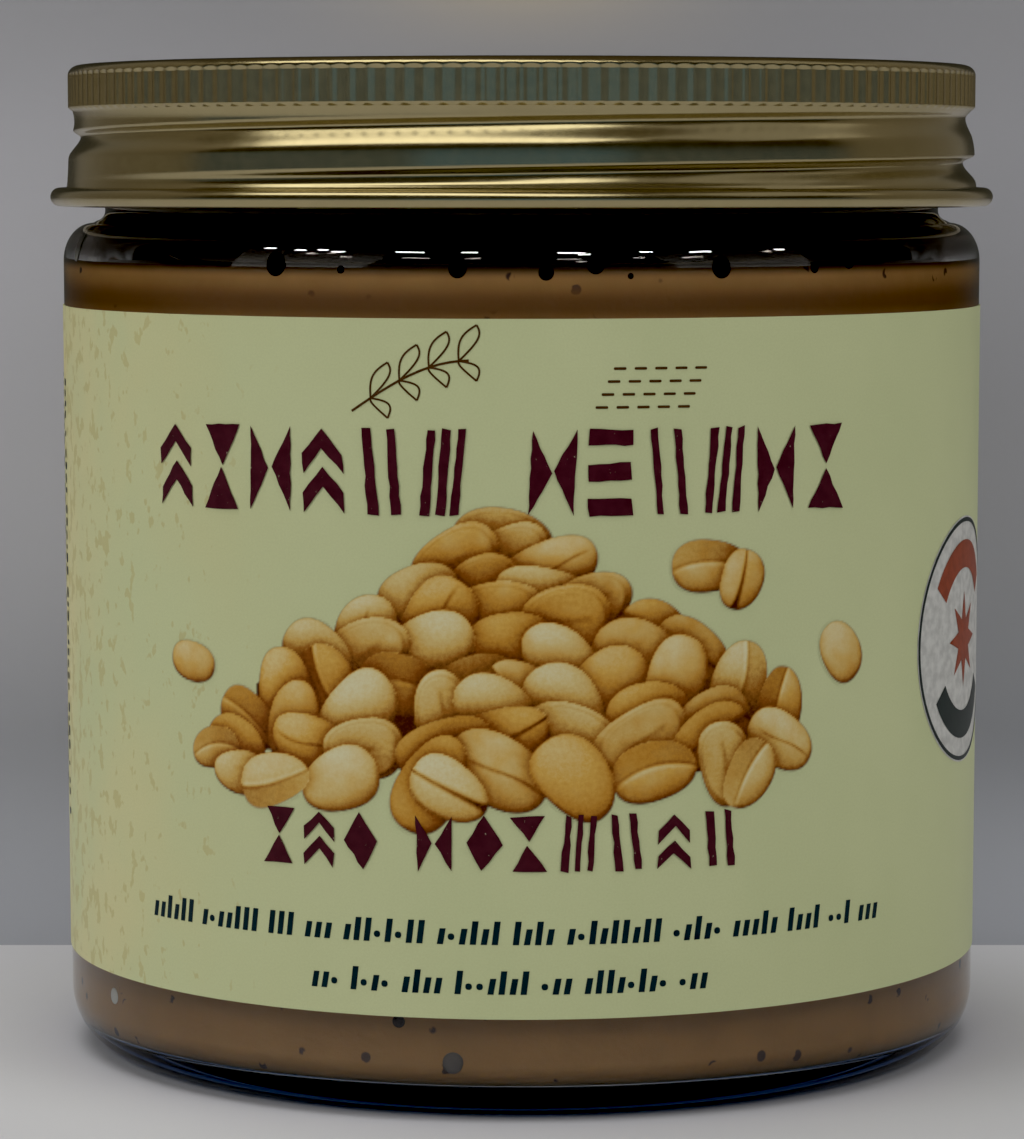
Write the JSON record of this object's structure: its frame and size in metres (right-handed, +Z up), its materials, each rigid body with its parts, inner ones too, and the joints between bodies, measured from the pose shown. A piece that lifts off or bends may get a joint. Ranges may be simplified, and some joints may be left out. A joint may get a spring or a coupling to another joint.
{
  "type": "peanut butter jar",
  "caption": "Straight-sided clear glass jar filled with peanut butter, with a wrapped paper label and a knurled gold metal screw lid.",
  "frame": {"origin": "the middle of the base, on the surface the jar stands on", "axes": "+Z up along the jar's axis, -Y towards the front of the label"},
  "size_m": [0.0926, 0.0926, 0.0961],
  "materials": {
    "glass": "clear, smooth moulded",
    "peanut_butter": "smooth, slightly oily",
    "label": "coated paper, semi-matte",
    "lid": "gold lacquered tinplate, satin"
  },
  "bodies": {
    "root": {"glass_jar": "glass", "peanut_butter": "peanut_butter", "label": "label", "lid": "lid"}
  },
  "joints": []
}
